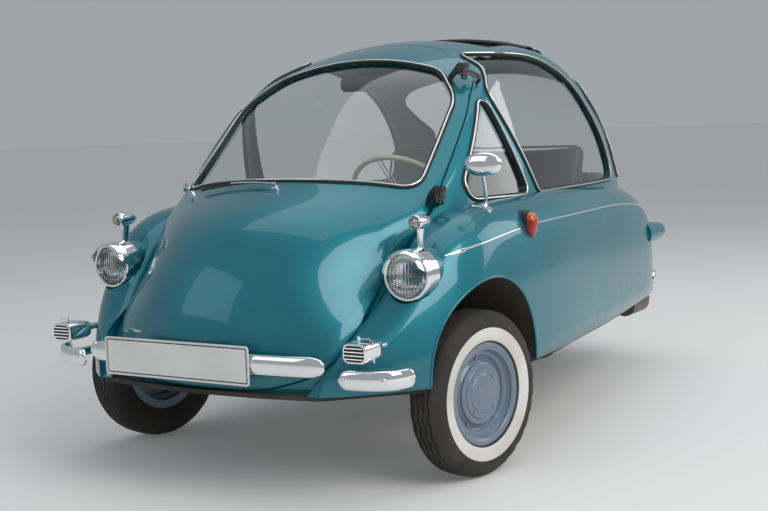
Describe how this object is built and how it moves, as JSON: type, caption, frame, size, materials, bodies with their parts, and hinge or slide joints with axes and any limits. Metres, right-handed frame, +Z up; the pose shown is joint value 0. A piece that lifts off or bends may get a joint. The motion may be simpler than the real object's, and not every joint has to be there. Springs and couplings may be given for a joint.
{
  "type": "bubble car",
  "caption": "Small rounded three-wheeled car: the whole nose is a side-hinged door with the windscreen, front wheels steer together, one rear wheel, open folded roof.",
  "frame": {"origin": "on the ground, midway along and across the car", "axes": "+Z up, -Y towards the nose, +X towards the car's left side"},
  "size_m": [1.4006, 2.55, 1.3203],
  "materials": {
    "teal_paint": "gloss, fine metallic flake",
    "under_paint": "dull dark underbody paint",
    "glass": "clear",
    "tyre": "worn rubber with a white band",
    "wheel_paint": "grey-blue paint, slightly worn",
    "chrome": "polished",
    "black_fabric": "weather cloth",
    "seat_cloth": "dark vinyl",
    "board": "dark trim board",
    "cast_metal": "oily casting",
    "bare_steel": "satin",
    "ivory": "gloss",
    "lens_clear": "fluted",
    "lens_red": "ribbed",
    "lens_amber": "ribbed",
    "plate_white": "blank white with a dark edge"
  },
  "bodies": {
    "body": {"body_shell": "teal_paint", "side_windows": "glass", "vent_windows": "glass", "rear_window": "glass", "floor_pan": "under_paint", "bulkhead": "board", "parcel_shelf": "board", "folded_roof": "black_fabric", "front_axle": "bare_steel", "rear_swing_arm": "bare_steel", "engine_block": "cast_metal", "exhaust": "bare_steel", "steering_column": "board", "pedals": "bare_steel", "hand_levers": "bare_steel", "seat_base": "board", "seat_cushion": "seat_cloth", "seat_back": "seat_cloth", "hinge_brackets": "chrome", "side_bumpers": "chrome", "rear_bumpers": "chrome", "horns": "chrome", "headlamp_bezels": "teal_paint", "headlamp_lenses": "lens_clear", "parking_lamps": "chrome", "side_indicators": "lens_amber", "tail_lamps": "lens_red", "outside_mirror": "chrome", "rear_plate": "plate_white"},
    "door": {"front_door": "teal_paint", "windscreen": "glass", "hinge_arms": "chrome", "front_bumper": "chrome", "front_plate": "plate_white", "wiper": "chrome", "door_handle": "chrome", "inside_mirror": "board"},
    "steering_wheel": {"steering_wheel": "ivory"},
    "knuckle_left": {"knuckle_left": "cast_metal"},
    "knuckle_right": {"knuckle_right": "cast_metal"},
    "wheel_front_left": {"tyre_front_left": "tyre", "rim_front_left": "wheel_paint"},
    "wheel_front_right": {"tyre_front_right": "tyre", "rim_front_right": "wheel_paint"},
    "wheel_rear": {"tyre_rear": "tyre", "rim_rear": "wheel_paint"}
  },
  "joints": [
    {"name": "door_hinge", "type": "hinge", "parent": "body", "child": "door", "pos_m": [0.512, -0.735, 0.806], "axis": [-0.1954, 0.6838, 0.703], "range_deg": [0, 70]},
    {"name": "steer_left", "type": "hinge", "parent": "body", "child": "knuckle_left", "pos_m": [0.548, -0.745, 0.24], "axis": [0, 0, 1], "range_deg": [-19.5, 40.5]},
    {"name": "steer_right", "type": "hinge", "parent": "body", "child": "knuckle_right", "pos_m": [-0.548, -0.745, 0.24], "axis": [0, 0, 1], "range_deg": [-19.5, 40.5]},
    {"name": "steering_wheel", "type": "hinge", "parent": "body", "child": "steering_wheel", "pos_m": [0.2, -0.4, 0.765], "axis": [0, 0.766, 0.6428], "range_deg": [-156, 324]},
    {"name": "spin_front_left", "type": "hinge", "parent": "knuckle_left", "child": "wheel_front_left", "pos_m": [0.60896, -0.7563, 0.24], "axis": [0.9833, -0.1822, 0], "continuous": true},
    {"name": "spin_front_right", "type": "hinge", "parent": "knuckle_right", "child": "wheel_front_right", "pos_m": [-0.60896, -0.7337, 0.24], "axis": [0.9833, -0.1822, 0], "continuous": true},
    {"name": "spin_rear", "type": "hinge", "parent": "body", "child": "wheel_rear", "pos_m": [0, 1.015, 0.24], "axis": [1, 0, 0], "continuous": true}
  ],
  "couplings": [
    {"joint": "steer_right", "follows": "steer_left", "ratio": 1},
    {"joint": "steering_wheel", "follows": "steer_left", "ratio": 8}
  ]
}
